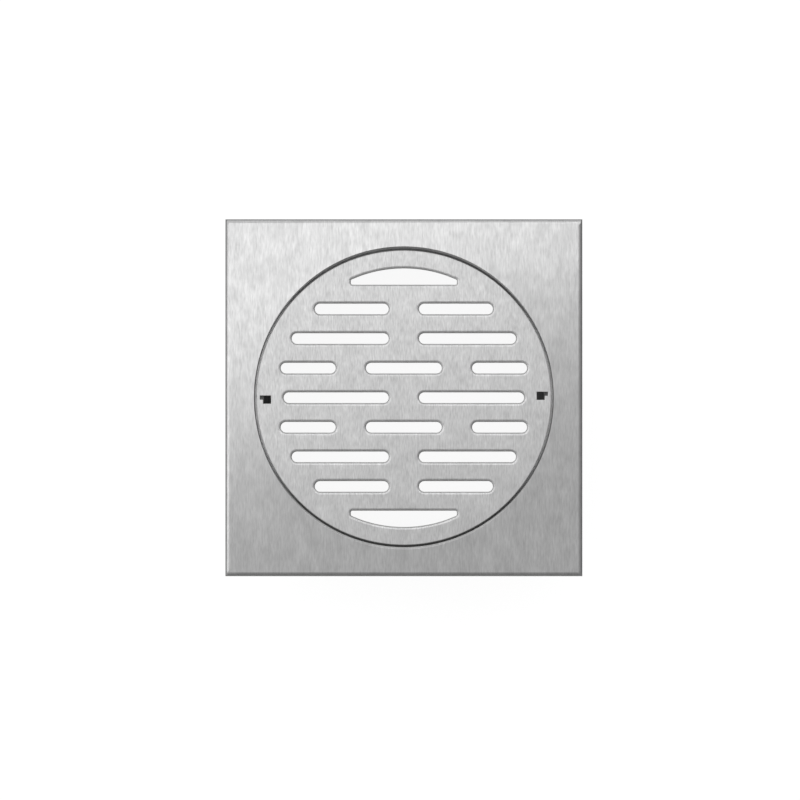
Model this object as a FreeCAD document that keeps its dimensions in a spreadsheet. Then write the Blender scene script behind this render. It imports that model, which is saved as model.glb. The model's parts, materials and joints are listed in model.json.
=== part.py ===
import FreeCAD, Part
import Sketcher
import math
import os

# Square stainless floor drain with a round twist-lock grate.
# The origin is at the centre of the outlet's lower end, +Z points up and lengths are in millimetres.

# Driving dimensions
DIMENSIONS = {
    "frame_width": 150.0,
    "frame_sheet": 1.2,
    "frame_border": 12.3,
    "rim_depth": 9.0,
    "rim_bend": 0.5,
    "corner_seam": 0.4,
    "recess_edge_break": 0.9,
    "ledge_width": 3.7,
    "ring_gap": 0.8,
    "seat_clearance": 0.2,
    "grate_thickness": 3.0,
    "grate_edge_break": 0.6,
    "crescent_margin": 7.1,
    "crescent_height": 7.78,
    "crescent_end": 2.83,
    "crescent_corner": 1.2,
    "slot_half_width": 2.7,
    "slot_edge_break": 0.65,
    "slot_margin": 8.2,
    "slot_bridge": 11.8,
    "middle_row_setback": 2.7,
    "third_row_setback": 0.75,
    "centre_slot_half": 16.4,
    "key_hole_inset": 4.4,
    "key_hole_half": 1.7,
    "key_hole_notch": 1.3,
    "key_hole_offset": 0.8,
    "lug_angle": 90.0,
    "lug_sheet": 1.5,
    "lug_bend": 0.5,
    "lug_width": 8.0,
    "lug_overlap": 2.2,
    "lug_clearance": 0.5,
    "notch_clearance": 0.6,
    "release_turn": 15.0,
    "stop_thickness": 1.2,
    "stop_drop": 2.2,
    "bowl_sheet": 1.2,
    "bowl_gap": 0.6,
    "bowl_depth": 13.0,
    "bowl_taper": 7.35,
    "flange_margin": 2.6,
    "spigot_length": 28.45,
}

doc = FreeCAD.newDocument("floor_drain")
sheet = doc.addObject("Spreadsheet::Sheet", "dims")
for row_number, (alias, number) in enumerate(DIMENSIONS.items(), start=1):
    sheet.set(f"A{row_number}", alias)
    sheet.set(f"B{row_number}", str(number))
    sheet.setAlias(f"B{row_number}", alias)
doc.recompute()

# Heights that several pieces share, as formulas of the sheet
TOP = "(dims.spigot_length + dims.bowl_taper + dims.bowl_sheet + dims.bowl_depth)"
PLATE_UNDER = f"({TOP} - dims.frame_sheet)"
RIM_UNDER = f"({TOP} - dims.rim_depth)"
GRATE_UNDER = f"({TOP} - dims.grate_thickness)"
LEDGE_TOP = f"({GRATE_UNDER} - dims.seat_clearance)"
LEDGE_UNDER = f"({LEDGE_TOP} - dims.frame_sheet)"

# Radii that several pieces share: each fits inside or outside the one before it
HALF_FRAME = "(dims.frame_width / 2)"
RECESS_RADIUS = f"({HALF_FRAME} - dims.frame_border)"
RECESS_OUTSIDE = f"({RECESS_RADIUS} + dims.frame_sheet)"
GRATE_RADIUS = f"({RECESS_RADIUS} - dims.ring_gap)"
LEDGE_RADIUS = f"({RECESS_RADIUS} - dims.ledge_width)"

# The lugs, and the notches that they pass when the grate is turned to its release angle
LUG_REACH = f"({LEDGE_RADIUS} + dims.lug_overlap)"
NOTCH_HALF = "(dims.lug_width / 2 + dims.notch_clearance)"
NOTCH_REACH = f"({LUG_REACH} + dims.notch_clearance)"
RELEASE_ANGLE = "(dims.lug_angle + dims.release_turn)"

# The openings: rows of slots spread evenly between the crescents' flat edges
CRESCENT_RADIUS = f"({GRATE_RADIUS} - dims.crescent_margin)"
CRESCENT_FLAT = f"({CRESCENT_RADIUS} - dims.crescent_height)"
CRESCENT_HALF = f"(sqrt({CRESCENT_RADIUS} ^ 2 - ({CRESCENT_FLAT} + dims.crescent_end) ^ 2))"
ROWS_TO_CRESCENT = 4
ROW_PITCH = f"(({CRESCENT_FLAT} + dims.slot_half_width) / {ROWS_TO_CRESCENT})"

# Two places closer than this are the same place
TOLERANCE = 1e-4


def value(text):
    """The number that a formula gives now."""
    return float(sheet.evalExpression(text))


# Helpers for bodies, sketches and features
def new_body(label):
    body = doc.addObject("PartDesign::Body", label)
    body.Label = label
    return body


def new_sketch(body, name, plane="XY_Plane", height=None, turn=None):
    """A sketch on one of the body's own planes, raised to a height and turned about its normal."""
    sketch = body.newObject("Sketcher::SketchObject", name)
    support = [item for item in body.Origin.OriginFeatures if item.Role == plane]
    sketch.AttachmentSupport = [(support[0], "")]
    sketch.MapMode = "FlatFace"
    if turn is not None:
        about_normal = FreeCAD.Rotation(FreeCAD.Vector(0, 0, 1), value(turn))
        sketch.AttachmentOffset = FreeCAD.Placement(FreeCAD.Vector(), about_normal)
        sketch.setExpression("AttachmentOffset.Rotation.Angle", turn)
    if height is not None:
        sketch.setExpression("AttachmentOffset.Base.z", height)
    return sketch


def dimension(sketch, kind, places, text):
    """Add a dimension to a sketch and bind it to a formula."""
    index = sketch.addConstraint(Sketcher.Constraint(kind, *places, value(text)))
    sketch.setExpression(f"Constraints[{index}]", text)


def place_point(sketch, geometry, point, across, along):
    """Hold a point of a sketch at two formulas, measured from the sketch's origin."""
    dimension(sketch, "DistanceX", (-1, 1, geometry, point), across)
    dimension(sketch, "DistanceY", (-1, 1, geometry, point), along)


def outline(sketch, corners):
    """A closed outline of straight lines through corners given as pairs of formulas."""
    points = [FreeCAD.Vector(value(across), value(along), 0) for across, along in corners]
    lines = []
    for start, end in zip(points, points[1:] + points[:1]):
        lines.append(sketch.addGeometry(Part.LineSegment(start, end), False))
    for line, following in zip(lines, lines[1:] + lines[:1]):
        sketch.addConstraint(Sketcher.Constraint("Coincident", line, 2, following, 1))
    for line, (across, along) in zip(lines, corners):
        place_point(sketch, line, 1, across, along)


def circle(sketch, radius):
    """A circle about the sketch's origin."""
    ring = Part.Circle(FreeCAD.Vector(), FreeCAD.Vector(0, 0, 1), value(radius))
    index = sketch.addGeometry(ring, False)
    sketch.addConstraint(Sketcher.Constraint("Coincident", index, 3, -1, 1))
    dimension(sketch, "Radius", (index,), radius)


def pad(body, sketch, name, length, downward=False, both_ways=False):
    feature = body.newObject("PartDesign::Pad", name)
    feature.Profile = sketch
    feature.setExpression("Length", length)
    feature.Reversed = downward
    feature.Midplane = both_ways
    doc.recompute()
    return feature


def pocket(body, sketch, name, length, upward=False):
    """Cut a sketch's outlines out of a body, and stop if nothing was cut."""
    before = body.Shape.Volume
    feature = body.newObject("PartDesign::Pocket", name)
    feature.Profile = sketch
    feature.setExpression("Length", length)
    feature.Reversed = upward
    doc.recompute()
    if body.Shape.Volume > before - TOLERANCE:
        raise RuntimeError(f"{name} cuts nothing")
    return feature


def revolve(body, sketch, name):
    """Turn a profile drawn on the XZ plane once round the vertical axis."""
    feature = body.newObject("PartDesign::Revolution", name)
    feature.Profile = sketch
    feature.ReferenceAxis = (sketch, ["V_Axis"])
    feature.Angle = 360
    doc.recompute()
    return feature


def dress_edges(body, kind, name, size, wanted):
    """Fillet or chamfer the edges of a body that a test picks."""
    base = body.Tip
    names = [f"Edge{i}" for i, edge in enumerate(base.Shape.Edges, start=1) if wanted(edge)]
    feature = body.newObject(f"PartDesign::{kind}", name)
    feature.Base = (base, names)
    feature.setExpression({"Fillet": "Radius", "Chamfer": "Size"}[kind], size)
    doc.recompute()
    return feature


def at_height(edge, height):
    box = edge.BoundBox
    return abs(box.ZMin - height) < TOLERANCE and abs(box.ZMax - height) < TOLERANCE


def is_upright(edge):
    box = edge.BoundBox
    return box.ZLength > TOLERANCE and box.XLength < TOLERANCE and box.YLength < TOLERANCE


def is_ring(edge, radius, height):
    """True for an edge on the circle of this radius about the vertical axis, at this height."""
    middle = edge.valueAt((edge.FirstParameter + edge.LastParameter) / 2)
    spots = [middle] + [vertex.Point for vertex in edge.Vertexes]
    return at_height(edge, height) and all(abs((spot.x**2 + spot.y**2) ** 0.5 - radius) < TOLERANCE
                                           for spot in spots)


# The frame: a square of sheet with a folded rim and a pressed recess whose ledge carries the grate
def square_outline(sketch, half):
    outline(sketch, [(half, half), (f"-{half}", half), (f"-{half}", f"-{half}"), (half, f"-{half}")])


def make_frame():
    body = new_body("frame")
    half_inside = f"({HALF_FRAME} - dims.frame_sheet)"
    top, inside, recess = value(TOP), value(PLATE_UNDER), value(RECESS_RADIUS)

    plate = new_sketch(body, "frame_square", height=TOP)
    square_outline(plate, HALF_FRAME)
    pad(body, plate, "frame_block", "dims.rim_depth", downward=True)
    dress_edges(body, "Fillet", "rim_outer_bend", "dims.rim_bend + dims.frame_sheet",
                lambda edge: at_height(edge, top))

    hollow = new_sketch(body, "frame_hollow", height=RIM_UNDER)
    square_outline(hollow, half_inside)
    pocket(body, hollow, "rim_inside", "dims.rim_depth - dims.frame_sheet", upward=True)
    dress_edges(body, "Fillet", "rim_inner_bend", "dims.rim_bend", lambda edge: at_height(edge, inside))

    # At each corner one fold runs through and the next one stops short of it by the seam
    seams = new_sketch(body, "corner_seams", height=RIM_UNDER)
    seam_start = f"({half_inside} - dims.corner_seam)"
    for x_sign, y_sign in (("", ""), ("-", ""), ("-", "-"), ("", "-")):
        inner, outer = x_sign + half_inside, x_sign + HALF_FRAME
        start, end = y_sign + seam_start, y_sign + half_inside
        outline(seams, [(inner, start), (outer, start), (outer, end), (inner, end)])
    pocket(body, seams, "corner_seam_cuts", "dims.rim_depth - dims.rim_bend - dims.frame_sheet", upward=True)

    mouth = new_sketch(body, "recess_mouth", height=TOP)
    circle(mouth, RECESS_RADIUS)
    pocket(body, mouth, "recess_opening", "dims.frame_sheet")
    section = new_sketch(body, "recess_section", plane="XZ_Plane")
    outline(section, [(LEDGE_RADIUS, LEDGE_UNDER), (RECESS_OUTSIDE, LEDGE_UNDER), (RECESS_OUTSIDE, TOP),
                      (RECESS_RADIUS, TOP), (RECESS_RADIUS, LEDGE_TOP), (LEDGE_RADIUS, LEDGE_TOP)])
    revolve(body, section, "recess_wall_and_ledge")
    dress_edges(body, "Chamfer", "recess_edge", "dims.recess_edge_break",
                lambda edge: is_ring(edge, recess, top))

    # Two notches let the lugs down past the ledge when the grate is at its release angle
    notches = new_sketch(body, "ledge_notches", height=LEDGE_TOP, turn=RELEASE_ANGLE)
    notch_start = f"({LEDGE_RADIUS} - dims.ledge_width)"
    for sign in ("", "-"):
        outline(notches, [(sign + notch_start, NOTCH_HALF), (sign + NOTCH_REACH, NOTCH_HALF),
                          (sign + NOTCH_REACH, "-" + NOTCH_HALF), (sign + notch_start, "-" + NOTCH_HALF)])
    pocket(body, notches, "lug_notches", "dims.frame_sheet")

    # Tabs under the ledge stop each lug at the locked end and beside its notch
    add_stop_tabs(body, "locked_stops", "dims.lug_angle", "-")
    add_stop_tabs(body, "release_stops", RELEASE_ANGLE, "")
    return body


def add_stop_tabs(body, name, turn, side):
    """Two opposite tabs under the ledge, beside where a lug stands at an angle."""
    sketch = new_sketch(body, name + "_sketch", height=LEDGE_UNDER, turn=turn)
    near = NOTCH_HALF
    far = f"({NOTCH_HALF} + dims.stop_thickness)"
    tab_start = f"({LEDGE_RADIUS} + dims.lug_clearance)"
    for sign, turned_side in (("", side), ("-", "" if side else "-")):
        outline(sketch, [(sign + tab_start, turned_side + near), (sign + LUG_REACH, turned_side + near),
                         (sign + LUG_REACH, turned_side + far), (sign + tab_start, turned_side + far)])
    pad(body, sketch, name, "dims.stop_drop", downward=True)


# The bowl: a drawn funnel whose flange is welded under the frame, with the outlet spigot below
def make_bowl():
    body = new_body("bowl")
    flange_edge = f"({HALF_FRAME} - dims.frame_sheet - dims.flange_margin)"
    flange_under = f"({PLATE_UNDER} - dims.bowl_sheet)"
    wall_inside = f"({RECESS_OUTSIDE} + dims.bowl_gap)"
    wall_outside = f"({wall_inside} + dims.bowl_sheet)"
    spigot_outside = f"({wall_inside} - dims.bowl_taper)"
    spigot_inside = f"({spigot_outside} - dims.bowl_sheet)"

    # The taper runs at 45 degrees, so its outer corners lie lower by the sheet times tan(22.5)
    taper_top = f"({TOP} - dims.bowl_depth)"
    taper_foot = "(dims.spigot_length)"
    corner_drop = "(dims.bowl_sheet * (sqrt(2) - 1))"
    section = new_sketch(body, "bowl_section", plane="XZ_Plane")
    outline(section, [(spigot_inside, "0"), (spigot_outside, "0"),
                      (spigot_outside, f"{taper_foot} - {corner_drop}"),
                      (wall_outside, f"{taper_top} - {corner_drop}"),
                      (wall_outside, flange_under), (flange_edge, flange_under),
                      (flange_edge, PLATE_UNDER), (wall_inside, PLATE_UNDER),
                      (wall_inside, taper_top), (spigot_inside, taper_foot)])
    revolve(body, section, "bowl_wall")
    return body


# The grate: a round plate with rows of slots, a crescent above and below them and two key holes
def round_slot(sketch, start, end, row):
    """A slot with round ends along X, from its start to its end, centred on a row."""
    first = f"({start} + dims.slot_half_width)"
    last = f"({end} - dims.slot_half_width)"
    half_width, height = value("dims.slot_half_width"), value(row)
    left = FreeCAD.Vector(value(first), height, 0)
    right = FreeCAD.Vector(value(last), height, 0)
    normal, up = FreeCAD.Vector(0, 0, 1), FreeCAD.Vector(0, half_width, 0)
    left_end = sketch.addGeometry(Part.ArcOfCircle(Part.Circle(left, normal, half_width),
                                                   math.pi / 2, 3 * math.pi / 2), False)
    right_end = sketch.addGeometry(Part.ArcOfCircle(Part.Circle(right, normal, half_width),
                                                    -math.pi / 2, math.pi / 2), False)
    upper = sketch.addGeometry(Part.LineSegment(left + up, right + up), False)
    lower = sketch.addGeometry(Part.LineSegment(left - up, right - up), False)
    sketch.addConstraint([Sketcher.Constraint("Tangent", left_end, 1, upper, 1),
                          Sketcher.Constraint("Tangent", left_end, 2, lower, 1),
                          Sketcher.Constraint("Tangent", right_end, 2, upper, 2),
                          Sketcher.Constraint("Tangent", right_end, 1, lower, 2),
                          Sketcher.Constraint("Equal", left_end, right_end),
                          Sketcher.Constraint("Horizontal", upper)])
    dimension(sketch, "Radius", (left_end,), "dims.slot_half_width")
    place_point(sketch, left_end, 3, first, row)
    dimension(sketch, "DistanceX", (-1, 1, right_end, 3), last)


def slot_pair(sketch, start, end, row):
    """Two slots, mirrored left and right of the middle."""
    round_slot(sketch, start, end, row)
    round_slot(sketch, f"-{end}", f"-{start}", row)


def row_end(row, setback="0"):
    """How far from the middle a row's last slot reaches, inside the circle that bounds the rows."""
    return f"(sqrt(({GRATE_RADIUS} - dims.slot_margin) ^ 2 - {row} ^ 2) - {setback})"


def crescent(sketch, side):
    """The opening above (1) or below (-1) the rows: a flat edge, two short ends and an arc."""
    flat = f"({side} * {CRESCENT_FLAT})"
    radius = value(CRESCENT_RADIUS)
    half = value(CRESCENT_HALF)
    flat_height = value(flat)
    end_angle = math.acos(half / radius)
    end_height = side * radius * math.sin(end_angle)
    corners = [FreeCAD.Vector(half, end_height, 0), FreeCAD.Vector(half, flat_height, 0),
               FreeCAD.Vector(-half, flat_height, 0), FreeCAD.Vector(-half, end_height, 0)]
    lines = [Part.LineSegment(start, end) for start, end in zip(corners, corners[1:])]
    right, base, left = [sketch.addGeometry(line, False) for line in lines]
    first_angle = end_angle if side > 0 else math.pi + end_angle
    last_angle = first_angle + math.pi - 2 * end_angle
    ring = Part.Circle(FreeCAD.Vector(), FreeCAD.Vector(0, 0, 1), radius)
    arc = sketch.addGeometry(Part.ArcOfCircle(ring, first_angle, last_angle), False)
    at_right, at_left = (1, 2) if side > 0 else (2, 1)
    sketch.addConstraint([Sketcher.Constraint("Coincident", right, 2, base, 1),
                          Sketcher.Constraint("Coincident", base, 2, left, 1),
                          Sketcher.Constraint("Coincident", arc, at_right, right, 1),
                          Sketcher.Constraint("Coincident", arc, at_left, left, 2),
                          Sketcher.Constraint("Coincident", arc, 3, -1, 1),
                          Sketcher.Constraint("Vertical", right),
                          Sketcher.Constraint("Vertical", left)])
    dimension(sketch, "Radius", (arc,), CRESCENT_RADIUS)
    place_point(sketch, base, 1, CRESCENT_HALF, flat)
    place_point(sketch, base, 2, "-" + CRESCENT_HALF, flat)


def key_hole(sketch, sign, offset):
    """A square hole for one prong of the key, with a notch on its outer side."""
    middle = f"({GRATE_RADIUS} - dims.key_hole_inset)"
    inner = f"({sign}({middle} - dims.key_hole_half))"
    outer = f"({sign}({middle} + dims.key_hole_half))"
    notch = f"({sign}({middle} + dims.key_hole_half + dims.key_hole_notch))"
    low = f"({offset} - dims.key_hole_half)"
    high = f"({offset} + dims.key_hole_half)"
    outline(sketch, [(inner, low), (outer, low), (outer, offset),
                     (notch, offset), (notch, high), (inner, high)])


def make_grate():
    body = new_body("grate")
    disc = new_sketch(body, "grate_disc", height=TOP)
    circle(disc, GRATE_RADIUS)
    pad(body, disc, "grate_plate", "dims.grate_thickness", downward=True)

    slots = new_sketch(body, "slot_rows", height=TOP)
    half_bridge = "(dims.slot_bridge / 2)"
    slot_pair(slots, half_bridge, row_end("0", "dims.middle_row_setback"), "0")
    for sign in ("", "-"):
        first, second, third = [f"({sign}{number} * {ROW_PITCH})" for number in (1, 2, 3)]
        round_slot(slots, "-dims.centre_slot_half", "dims.centre_slot_half", first)
        slot_pair(slots, "(dims.centre_slot_half + dims.slot_bridge)", row_end(first), first)
        slot_pair(slots, half_bridge, row_end(second), second)
        slot_pair(slots, half_bridge, row_end(third, "dims.third_row_setback"), third)
    pocket(body, slots, "slots", "dims.grate_thickness")

    crescents = new_sketch(body, "crescent_outlines", height=TOP)
    crescent(crescents, 1)
    crescent(crescents, -1)
    pocket(body, crescents, "crescents", "dims.grate_thickness")
    end, flat, top, rim = value(CRESCENT_HALF), value(CRESCENT_FLAT), value(TOP), value(GRATE_RADIUS)
    dress_edges(body, "Fillet", "crescent_corners", "dims.crescent_corner",
                lambda edge: is_upright(edge) and abs(abs(edge.CenterOfMass.x) - end) < TOLERANCE
                and abs(edge.CenterOfMass.y) > flat - TOLERANCE)
    dress_edges(body, "Chamfer", "slot_edges", "dims.slot_edge_break",
                lambda edge: at_height(edge, top) and not is_ring(edge, rim, top))
    dress_edges(body, "Chamfer", "grate_edge", "dims.grate_edge_break",
                lambda edge: is_ring(edge, rim, top))

    keys = new_sketch(body, "key_hole_outlines", height=TOP)
    key_hole(keys, "", "dims.key_hole_offset")
    key_hole(keys, "-", "-dims.key_hole_offset")
    pocket(body, keys, "key_holes", "dims.grate_thickness")
    return body


# The lock lugs: bent strips welded under the grate, whose feet turn in under the frame's ledge
def make_lug(number):
    body = new_body(f"lock_lug_{number}")
    leg_outside = f"({LEDGE_RADIUS} - dims.lug_clearance)"
    leg_inside = f"({leg_outside} - dims.lug_sheet)"
    foot_top = f"({LEDGE_UNDER} - dims.lug_clearance)"
    foot_under = f"({foot_top} - dims.lug_sheet)"

    section = new_sketch(body, f"lug_section_{number}", plane="XZ_Plane")
    outline(section, [(leg_inside, foot_under), (LUG_REACH, foot_under), (LUG_REACH, foot_top),
                      (leg_outside, foot_top), (leg_outside, GRATE_UNDER), (leg_inside, GRATE_UNDER)])
    pad(body, section, f"lug_strip_{number}", "dims.lug_width", both_ways=True)

    def along_width(across, height):
        return lambda edge: (edge.BoundBox.YLength > TOLERANCE
                             and abs(edge.CenterOfMass.x - value(across)) < TOLERANCE
                             and abs(edge.CenterOfMass.z - value(height)) < TOLERANCE)

    dress_edges(body, "Fillet", f"lug_outer_bend_{number}", "dims.lug_bend + dims.lug_sheet",
                along_width(leg_inside, foot_under))
    dress_edges(body, "Fillet", f"lug_inner_bend_{number}", "dims.lug_bend",
                along_width(leg_outside, foot_top))

    half_turns = 180 * (number - 1)
    body.Placement.Rotation = FreeCAD.Rotation(FreeCAD.Vector(0, 0, 1), value("dims.lug_angle") + half_turns)
    body.setExpression("Placement.Rotation.Angle", f"dims.lug_angle + {half_turns}")
    doc.recompute()
    return body


bodies = [make_frame(), make_bowl(), make_grate(), make_lug(1), make_lug(2)]
doc.recompute()

# Nothing is written unless every object is sound
for item in doc.Objects:
    if "Invalid" in item.State or "Error" in item.State:
        raise RuntimeError(f"{item.Label} failed")
for body in bodies:
    if body.Shape.isNull() or not body.Shape.isValid() or len(body.Shape.Solids) != 1:
        raise RuntimeError(f"{body.Label} is not one sound solid")

os.makedirs("parts", exist_ok=True)
for body in bodies:
    body.Shape.exportStep(f"parts/{body.Label}.step")
    box = body.Shape.BoundBox
    print(f"{body.Label}: {body.Shape.Volume:.1f} mm3, z {box.ZMin:.2f} to {box.ZMax:.2f}")
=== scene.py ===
# %% [markdown]
# # A square floor drain with a round grate
# The drain has four kinds of stainless steel pieces: a square frame with a folded rim, a slotted
# grate that drops into it, a funnel with a pipe spigot below, and two lugs that lock the grate.
# The construction model already gives every piece its place and size. It could be shown as it is,
# but its small edges are plain chamfers, and brushed steel shows every edge. So each piece is made
# again here as a mesh with true bends, and the measures are read from the construction model.

# %% Load the construction model
import json
import math
import bmesh
import bpy
from mathutils import Matrix, Vector


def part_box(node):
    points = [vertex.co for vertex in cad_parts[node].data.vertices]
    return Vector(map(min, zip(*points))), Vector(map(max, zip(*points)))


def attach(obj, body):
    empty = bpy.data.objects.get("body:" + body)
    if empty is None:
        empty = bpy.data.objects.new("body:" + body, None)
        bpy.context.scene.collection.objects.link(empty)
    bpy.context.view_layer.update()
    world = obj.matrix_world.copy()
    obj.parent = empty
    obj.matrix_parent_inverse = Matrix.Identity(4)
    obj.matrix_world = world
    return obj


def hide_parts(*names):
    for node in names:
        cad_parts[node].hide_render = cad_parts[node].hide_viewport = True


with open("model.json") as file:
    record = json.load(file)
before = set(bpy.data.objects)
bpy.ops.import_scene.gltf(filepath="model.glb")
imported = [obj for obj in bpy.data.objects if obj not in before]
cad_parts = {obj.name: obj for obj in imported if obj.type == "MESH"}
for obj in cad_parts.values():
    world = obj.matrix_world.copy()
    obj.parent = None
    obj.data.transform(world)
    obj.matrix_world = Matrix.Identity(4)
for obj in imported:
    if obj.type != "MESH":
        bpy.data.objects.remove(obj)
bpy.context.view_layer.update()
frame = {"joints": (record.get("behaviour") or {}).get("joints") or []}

MM = 0.001

# %% [markdown]
# ## Measures
# The corners of each node's box give the main sizes: half the frame's width, the grate's radius, the
# heights of the top, the rim and the grate's underside. What a box can't tell, such as a sheet's
# thickness or a slot's width, is written once, here or where it is first needed, in millimetres turned
# into metres.

# %% Read the main sizes and name the rest
frame_low, frame_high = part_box("frame")
grate_low, grate_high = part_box("grate")
bowl_low, bowl_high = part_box("bowl")
lug_low, lug_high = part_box("lock_lug_1")

HALF_FRAME = frame_high.x
TOP = frame_high.z
RIM_UNDER = frame_low.z
GRATE_RADIUS = grate_high.x
GRATE_UNDER = grate_low.z
FLANGE_EDGE = bowl_high.x
FLANGE_TOP = bowl_high.z
FOOT_UNDER = lug_low.z
LUG_REACH = lug_high.y
LUG_HALF = lug_high.x

SHEET = 1.2 * MM
RIM_BEND = 1.7 * MM
RING_GAP = 0.8 * MM
RECESS_RADIUS = GRATE_RADIUS + RING_GAP
LIP_BREAK = 0.9 * MM
LIP_DROP = 0.5 * MM
LIP_ROUND = 0.25 * MM
SMALL_EDGE = 0.15 * MM
SEAT_GAP = 0.2 * MM
LEDGE_TOP = GRATE_UNDER - SEAT_GAP
LEDGE_WIDTH = 3.7 * MM
LEDGE_RADIUS = RECESS_RADIUS - LEDGE_WIDTH
print("frame", round(2 * HALF_FRAME / MM, 2), "mm wide")
print("grate", round(2 * GRATE_RADIUS / MM, 2), "mm across")

# %% [markdown]
# ## A sheet made of rings
# Pressed sheet is a profile carried round an axis: square for the rim, round for the recess and the
# funnel. Blender's Screw modifier can only make the round ones, so the sheet is laid here as rings of
# points, one ring for each point of the profile, with the same angles in every ring. The frame then
# goes from square rings to round ones in one skin, and its corners come out as true mitres. A
# Solidify modifier gives the skin its thickness, downwards, as a press would find it.

# %% Helpers for profiles and rings
BEND_STEPS = 6


def rounded(points, radii):
    """A profile of (radius, height) points whose inner corners are rounded to the given radii."""
    result = [Vector(points[0])]
    for before, corner, after, radius in zip(points, points[1:], points[2:], radii):
        corner = Vector(corner)
        back = (Vector(before) - corner).normalized()
        onward = (Vector(after) - corner).normalized()
        half_angle = back.angle(onward) / 2
        centre = corner + (back + onward).normalized() * (radius / math.sin(half_angle))
        spoke = corner + back * (radius / math.tan(half_angle)) - centre
        turn = math.pi - 2 * half_angle
        if back.x * onward.y - back.y * onward.x > 0:
            turn = -turn
        for step in range(BEND_STEPS + 1):
            result.append(centre + Matrix.Rotation(turn * step / BEND_STEPS, 2) @ spoke)
    result.append(Vector(points[-1]))
    return result


def on_circle(angle, radius):
    return radius * math.cos(angle), radius * math.sin(angle)


def on_square(angle, half):
    reach = half / max(abs(math.cos(angle)), abs(math.sin(angle)))
    return reach * math.cos(angle), reach * math.sin(angle)


def join_rows(build, rows, left_out=None):
    """Join closed rows of points into one skin, apart from the faces that are left out."""
    count = len(rows[0])
    for number, (row, following) in enumerate(zip(rows, rows[1:])):
        for column in range(count):
            beside = (column + 1) % count
            if left_out is None or not left_out(number, column):
                build.faces.new((row[column], row[beside], following[beside], following[column]))


def skin_of_rings(build, angles, rings, left_out=None):
    """Lay rings of (shape, size, height) at the given angles and join them into one skin."""
    rows = [[build.verts.new((*shape(angle, size), height)) for angle in angles]
            for shape, size, height in rings]
    join_rows(build, rows, left_out)


def new_piece(name, build, body):
    """Turn a bmesh into a piece that rides on a body; its finish is put in a slot later."""
    mesh = bpy.data.meshes.new(name)
    loose = [vertex for vertex in build.verts if not vertex.link_faces]
    bmesh.ops.delete(build, geom=loose, context="VERTS")
    build.to_mesh(mesh)
    build.free()
    piece = bpy.data.objects.new(name, mesh)
    bpy.context.scene.collection.objects.link(piece)
    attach(piece, body)
    return piece


def apply_modifiers(piece):
    """Put the result of a piece's modifiers into its mesh."""
    evaluated = piece.evaluated_get(bpy.context.evaluated_depsgraph_get())
    mesh = bpy.data.meshes.new_from_object(evaluated)
    mesh.name = piece.name
    piece.modifiers.clear()
    piece.data = mesh


def thicken(piece, thickness):
    """Give a skin its thickness, on the side away from its normals."""
    sheet = piece.modifiers.new("sheet", "SOLIDIFY")
    sheet.thickness = thickness
    sheet.offset = -1
    sheet.use_even_offset = True
    apply_modifiers(piece)


EDGE_SEGMENTS = 2


def break_edges(piece):
    """Break a small piece's sharp edges."""
    edges = piece.modifiers.new("edges", "BEVEL")
    edges.width = SMALL_EDGE
    edges.segments = EDGE_SEGMENTS
    edges.limit_method = "ANGLE"
    apply_modifiers(piece)


SAME_POINT = 0.001 * MM


def join_points(piece):
    """Join the points that fall together inside a fold."""
    build = bmesh.new()
    build.from_mesh(piece.data)
    bmesh.ops.remove_doubles(build, verts=build.verts, dist=SAME_POINT)
    build.to_mesh(piece.data)
    build.free()


SHARP_ANGLE = math.radians(35)
LEVEL = 0.99999


def shade(piece):
    """Smooth shading with a crease at sharp edges and round every level face, which then stays flat."""
    build = bmesh.new()
    build.from_mesh(piece.data)
    for face in build.faces:
        face.smooth = True
    for edge in build.edges:
        level = {abs(face.normal.z) > LEVEL for face in edge.link_faces}
        edge.smooth = len(level) == 1 and edge.calc_face_angle(0) < SHARP_ANGLE
    build.to_mesh(piece.data)
    build.free()
    flats = piece.modifiers.new("flats", "WEIGHTED_NORMAL")
    flats.keep_sharp = True
    print(piece.name, len(piece.data.polygons), "faces")


# %% [markdown]
# ## The frame
# The frame is one square of sheet. Its four sides are folded down, and the middle is pressed into a
# recess with a ledge that the grate sits on. At each corner one fold runs through and the next stops
# a little short of it, which leaves a fine upright seam. Two notches in the ledge let the lugs down.
# Seams and notches are faces left out of the skin, so the angles of their edges join the ring angles.
# The lip of the recess is a shallow bevel. It is widest at the front and the back, as a brushing belt
# that runs along Y would wear it, so its rings are not quite round. One even bevel would be simpler, but
# the line round the grate would then be too heavy at its left and right.

# %% Make the frame
RING_STEPS = 144
SEAM = 0.4 * MM
LIP_LEAST = 0.35
NOTCH_CLEARANCE = 0.6 * MM
NOTCH_HALF = LUG_HALF + NOTCH_CLEARANCE
NOTCH_REACH = LUG_REACH + NOTCH_CLEARANCE
RELEASE_TURN = math.radians(frame["joints"][0]["range_deg"][1])
LUG_ANGLES = (math.pi / 2, 3 * math.pi / 2)

seam_spans = []
for quarter in range(4):
    near = math.atan2(HALF_FRAME - SHEET - SEAM, HALF_FRAME)
    far = math.atan2(HALF_FRAME - SHEET, HALF_FRAME)
    side = 0 if quarter in (0, 3) else math.pi
    sign = 1 if quarter in (0, 2) else -1
    seam_spans.append(sorted(((side + sign * near) % math.tau, (side + sign * far) % math.tau)))
notch_spans = []
for lug_angle in LUG_ANGLES:
    half_turn = math.asin(NOTCH_HALF / NOTCH_REACH)
    middle = lug_angle + RELEASE_TURN
    notch_spans.append([middle - half_turn, middle + half_turn])


def within(start, end, windows):
    """Whether the middle of a step from one angle to the next lies in one of the windows."""
    middle = (start + (end if end > start else end + math.tau)) / 2
    return any(low < middle < high for low, high in windows)


def on_lip(angle, radius):
    """A ring on the lip, which is worn to its full width only where the belt runs across it."""
    worn = LIP_LEAST + (1 - LIP_LEAST) * math.sin(angle)**2
    return on_circle(angle, RECESS_RADIUS + (radius - RECESS_RADIUS) * worn)


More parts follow.
